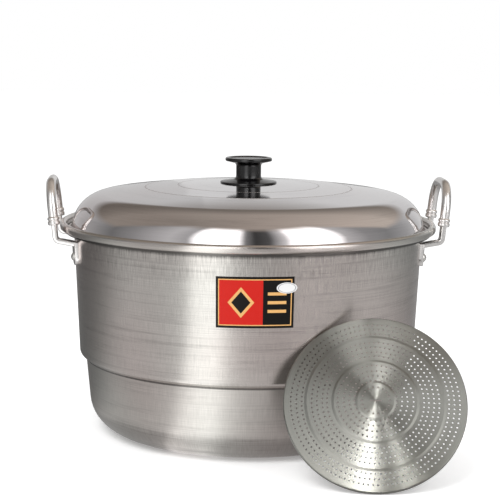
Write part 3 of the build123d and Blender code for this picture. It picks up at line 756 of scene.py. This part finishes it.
# A thin sheet wrapped on the upper wall, from an outline in mm about its own centre
def wrapped(name, outline, size, material):
    verts, faces, uvs, spots = [], [], [], []
    scales = (0.25, 0.5, 0.75, 1.0)
    for depth in (size["inner"], size["outer"]):
        for scale in (0.0,) + scales:
            for a, b in (outline if scale else [(0.0, 0.0)]):
                height = size["height"] + b * scale
                turn = size["turn"] + a * scale / skinRadius(size["height"])
                reach = skinRadius(height) + depth
                verts.append((reach * sin(turn), -reach * cos(turn), height))
                spots.append((a * scale / size["width"] + 0.5, b * scale / size["tall"] + 0.5))
    count = len(outline)
    layer = 1 + count * len(scales)
    for base, outwards in ((0, False), (layer, True)):
        for k in range(count):
            n = (k + 1) % count
            loops = [[base, base + 1 + k, base + 1 + n]]
            for ring in range(len(scales) - 1):
                first, second = base + 1 + ring * count, base + 1 + (ring + 1) * count
                loops.append([first + k, second + k, second + n, first + n])
            faces += loops if outwards else [loop[::-1] for loop in loops]
    rim = 1 + (len(scales) - 1) * count
    for k in range(count):
        n = (k + 1) % count
        faces.append([rim + k, rim + n, layer + rim + n, layer + rim + k])
    for face in faces:
        uvs += [spots[i] for i in face]
    return meshObject(name, verts, faces, uvs, material)


label = {  # in mm: inner and outer are its faces' heights off the wall
    "width": 76.0, "tall": 50.5, "height": 167.2, "turn": radians(-0.7), "inner": 0.05, "outer": 0.3,
    "steps": 16,
}
square = ((-1, -1), (1, -1), (1, 1), (-1, 1))
labelEdge = []
for i, (startX, startY) in enumerate(square):
    endX, endY = square[(i + 1) % 4]
    for k in range(label["steps"]):
        share = k / label["steps"]
        x, y = startX + (endX - startX) * share, startY + (endY - startY) * share
        labelEdge.append((x * label["width"] / 2, y * label["tall"] / 2))
frontLabel = wrapped("frontLabel", labelEdge, label, labelFilm)
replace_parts(frontLabel, "front_label")
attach(frontLabel, "pot")

sticker = {"width": 20.3, "tall": 10.8, "height": 181.5, "turn": radians(8.9), "inner": 0.35, "outer": 0.55}
stickerEdge = ellipse(sticker["width"] / 2, sticker["tall"] / 2)
sizeSticker = wrapped("sizeSticker", stickerEdge, sticker, stickerPaper)
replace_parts(sizeSticker, "size_sticker")
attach(sizeSticker, "pot")
print("labels made")

# The solids take the same materials, also where a piece above stands in for them
for node, material in (
    ("knob_insert", brassMetal), ("knob_washer", steelMetal), ("knob_screw", steelMetal),
    ("right_rivet_washers", rivetMetal), ("left_rivet_washers", rivetMetal), ("right_rivets", rivetMetal),
    ("left_rivets", rivetMetal), ("pot_body", wallMetal), ("lid_shell", lidMetal), ("lid_knob", knobPlastic),
    ("right_handle", handleMetal), ("left_handle", handleMetal), ("steamer_plate", plateMetal),
    ("front_plate", plateMetal), ("front_label", labelFilm), ("size_sticker", stickerPaper),
):
    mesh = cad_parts[node].data
    mesh.materials.clear()
    mesh.materials.append(material)
print("solids painted")

# Light that the metal mirrors, as (degrees from -Y, level): the low walls of the room, and the table
roomBands = (
    (-180, 0.62), (-150, 0.55), (-122, 0.35), (-103, 0.19), (-85, 0.31), (-69, 0.48), (-57, 0.6), (-44, 0.45),
    (-35, 2.6), (-12, 2.6), (-5, 0.25), (2, 0.05), (12, 0.1), (23, 0.8), (30, 2.7), (56, 2.8), (66, 0.65),
    (83, 0.34), (101, 0.26), (122, 0.4), (150, 0.7), (180, 0.72),
)
tableBands = (
    (-180, 0.3), (-160, 0.2), (-145, 0.06), (-128, 0.06), (-113, 0.13), (-100, 0.3), (-88, 0.58), (-77, 0.72),
    (-57, 0.74), (-43, 0.9), (-38, 1.15), (-34, 2.3), (-20, 2.3), (-11, 1.1), (-4, 0.9), (3, 0.8), (19, 0.6),
    (44, 0.54), (72, 0.76), (88, 0.68), (106, 0.47), (125, 0.28), (150, 0.3), (180, 0.3),
)
brightest = 4.0  # a ramp's colours stop at 1, so the levels are shares of this


# Level of the light that comes from a direction, by its turn about Z, and the direction's parts
def studioLight(tree, place, bands):
    part = addNode(tree, "ShaderNodeSeparateXYZ", _0=place)
    turn = math(tree, "ARCTAN2", part.outputs[0], math(tree, "MULTIPLY", part.outputs[1], -1.0))
    share = math(tree, "ADD", math(tree, "DIVIDE", turn, 2 * pi), 0.5)
    ramp = addNode(tree, "ShaderNodeValToRGB", Fac=share)
    stops = ramp.color_ramp.elements
    while len(stops) > 1:
        stops.remove(stops[-1])
    for i, (angle, level) in enumerate(bands):
        spot = angle / 360 + 0.5
        stop = stops[0] if i == 0 else stops.new(spot)
        stop.position = spot
        stop.color = (level / brightest, level / brightest, level / brightest, 1.0)
    return math(tree, "MULTIPLY", ramp.outputs[0], brightest), part


ceiling = {  # mirrored above the bands, lower behind the pot, dimmer to the left and far behind
    "foot": 0.44, "head": 0.56, "drop": (-0.33, 0.11), "dropFrom": -0.25, "dropTo": 0.25,
    "left": 0.33, "right": 0.6, "leftFrom": -0.4, "rightTo": 0.7,
    "farBack": 0.5, "backFrom": 0.45, "backTo": 0.8, "colour": "#FFF1E3",
}
white = (1.0, 1.0, 1.0, 1.0)
world = bpy.data.worlds.new("studio")
bpy.context.scene.world = world
world.use_nodes = True
tree = world.node_tree
tree.nodes.clear()
rays = tree.nodes.new("ShaderNodeLightPath")
bands, part = studioLight(tree, addNode(tree, "ShaderNodeTexCoord").outputs["Generated"], roomBands)
drop = addNode(
    tree, "ShaderNodeMapRange",
    _0=part.outputs[1], _1=ceiling["dropFrom"], _2=ceiling["dropTo"],
    _3=ceiling["drop"][0], _4=ceiling["drop"][1],
).outputs[0]
lift = addNode(
    tree, "ShaderNodeMapRange",
    _0=math(tree, "ADD", part.outputs[2], drop), _1=ceiling["foot"], _2=ceiling["head"], _3=0.0, _4=1.0,
).outputs[0]
dimLeft = addNode(
    tree, "ShaderNodeMapRange", _0=part.outputs[0], _1=ceiling["leftFrom"], _2=ceiling["rightTo"],
    _3=ceiling["left"], _4=ceiling["right"],
).outputs[0]
dimBehind = addNode(
    tree, "ShaderNodeMapRange", _0=part.outputs[1], _1=ceiling["backFrom"], _2=ceiling["backTo"],
    _3=1.0, _4=ceiling["farBack"],
).outputs[0]
warm = addNode(
    tree, "ShaderNodeMix", {"data_type": "RGBA", "blend_type": "MULTIPLY"},
    _0=1.0, _6=math(tree, "MULTIPLY", dimLeft, dimBehind), _7=linear(ceiling["colour"]),
).outputs[2]
mirrored = addNode(tree, "ShaderNodeMix", {"data_type": "RGBA"}, _0=lift, _6=bands, _7=warm).outputs[2]
mirror = addNode(tree, "ShaderNodeBackground", Color=mirrored, Strength=1.0)
room = addNode(tree, "ShaderNodeBackground", Color=white, Strength=0.85)
backdrop = addNode(tree, "ShaderNodeBackground", Color=white, Strength=1.0)
seen = math(tree, "MAXIMUM", rays.outputs["Is Camera Ray"], rays.outputs["Is Transmission Ray"])
lit = addNode(
    tree, "ShaderNodeMixShader", _0=rays.outputs["Is Glossy Ray"], _1=room.outputs[0], _2=mirror.outputs[0]
)
shown = addNode(tree, "ShaderNodeMixShader", _0=seen, _1=lit.outputs[0], _2=backdrop.outputs[0])
addNode(tree, "ShaderNodeOutputWorld", Surface=shown.outputs[0])

# White paper for the camera and the lamps; the metal mirrors the table's bands in its place
table = {
    "paper": (0.95, 0.95, 0.95, 1.0), "glow": 0.8, "glowShare": 0.9, "sheen": 0.22,
    "half": 8.0, "sunk": 0.4 * mm,  # metres
}
floorPaper, tree = newMaterial("paper floor, matt white")
rays = tree.nodes.new("ShaderNodeLightPath")
bands = studioLight(tree, addNode(tree, "ShaderNodeTexCoord").outputs["Object"], tableBands)[0]
paper = addNode(tree, "ShaderNodeBsdfDiffuse", Color=table["paper"])
glow = addNode(tree, "ShaderNodeEmission", Color=bands, Strength=table["glow"])
dim = addNode(tree, "ShaderNodeMixShader", _0=table["glowShare"], _1=paper.outputs[0], _2=glow.outputs[0])
sheen = addNode(tree, "ShaderNodeEmission", Color=white, Strength=table["sheen"])
bright = addNode(tree, "ShaderNodeAddShader", _0=paper.outputs[0], _1=sheen.outputs[0])
finishMaterial(floorPaper, tree, addNode(
    tree, "ShaderNodeMixShader", _0=rays.outputs["Is Glossy Ray"], _1=bright.outputs[0], _2=dim.outputs[0]
))
floorMesh = bpy.data.meshes.new("floor")
floorCorners = [(x * table["half"], y * table["half"], -table["sunk"]) for x, y in square]
floorMesh.from_pydata(floorCorners, [], [(0, 1, 2, 3)])
floorMesh.materials.append(floorPaper)
floor = bpy.data.objects.new("floor", floorMesh)
bpy.context.scene.collection.objects.link(floor)


# A lamp in metres and watts. One with a target lights that piece alone.
def areaLight(name, place, size, power, mirrored, target=None, aim=(0, 0, 0.12)):
    lamp = bpy.data.lights.new(name, "AREA")
    lamp.shape = "RECTANGLE"
    lamp.size, lamp.size_y = size
    lamp.energy = power
    thing = bpy.data.objects.new(name, lamp)
    thing.location = place
    thing.rotation_euler = (Vector(aim) - Vector(place)).to_track_quat("-Z", "Y").to_euler()
    thing.visible_glossy = mirrored
    bpy.context.scene.collection.objects.link(thing)
    if target is not None:
        receivers = bpy.data.collections.new(name + "Receivers")
        receivers.objects.link(target)
        thing.light_linking.receiver_collection = receivers


areaLight("keyLight", (-0.9, -1.6, 1.9), (1.2, 1.2), 34.0, False)
areaLight("fillLight", (1.6, -1.0, 1.4), (1.2, 1.2), 14.0, False)
areaLight("knobStrip", (-0.25, -1.5, 1.0), (0.05, 0.6), 1.5, True, lidKnob)
plateMiddle = (0.11, -0.23, 0.08)
areaLight("plateAbove", (0.188, -0.59, 1.21), (0.07, 0.4), 0.2, True, frontPlate, plateMiddle)
areaLight("plateGlint", (0.0, -0.445, 1.246), (0.03, 0.4), 0.8, True, frontPlate, plateMiddle)
areaLight("plateBelow", (0.015, -1.44, 0.932), (0.08, 0.4), 4.4, True, frontPlate, plateMiddle)
areaLight("plateBright", (0.3, -1.5, 0.815), (0.03, 0.4), 1.5, True, frontPlate, plateMiddle)
print("studio made")

shot = {  # fitted to the photograph: metres, radians and pixels
    "distance": 1.682, "height": 0.4345, "turn": atan2(-0.091, 1.6795), "pitch": 0.1432, "roll": 0.0116,
    "focal": 1581.2, "centre": 247.7, "width": 500.0,
}
lens = bpy.data.cameras.new("camera")
lens.sensor_width = 36.0
lens.lens = shot["focal"] / shot["width"] * lens.sensor_width
lens.shift_x = (shot["width"] / 2 - shot["centre"]) / shot["width"]
lens.clip_start = 0.05
camera = bpy.data.objects.new("camera", lens)
sideways, back = shot["distance"] * sin(shot["turn"]), shot["distance"] * cos(shot["turn"])
camera.location = (sideways, -back, shot["height"])
aim = Matrix.Rotation(shot["turn"], 4, "Z") @ Matrix.Rotation(pi / 2 - shot["pitch"], 4, "X")
aim = aim @ Matrix.Rotation(shot["roll"], 4, "Z")
camera.rotation_euler = aim.to_euler()
bpy.context.scene.collection.objects.link(camera)
bpy.context.scene.camera = camera
bpy.context.scene.view_settings.view_transform = "Standard"
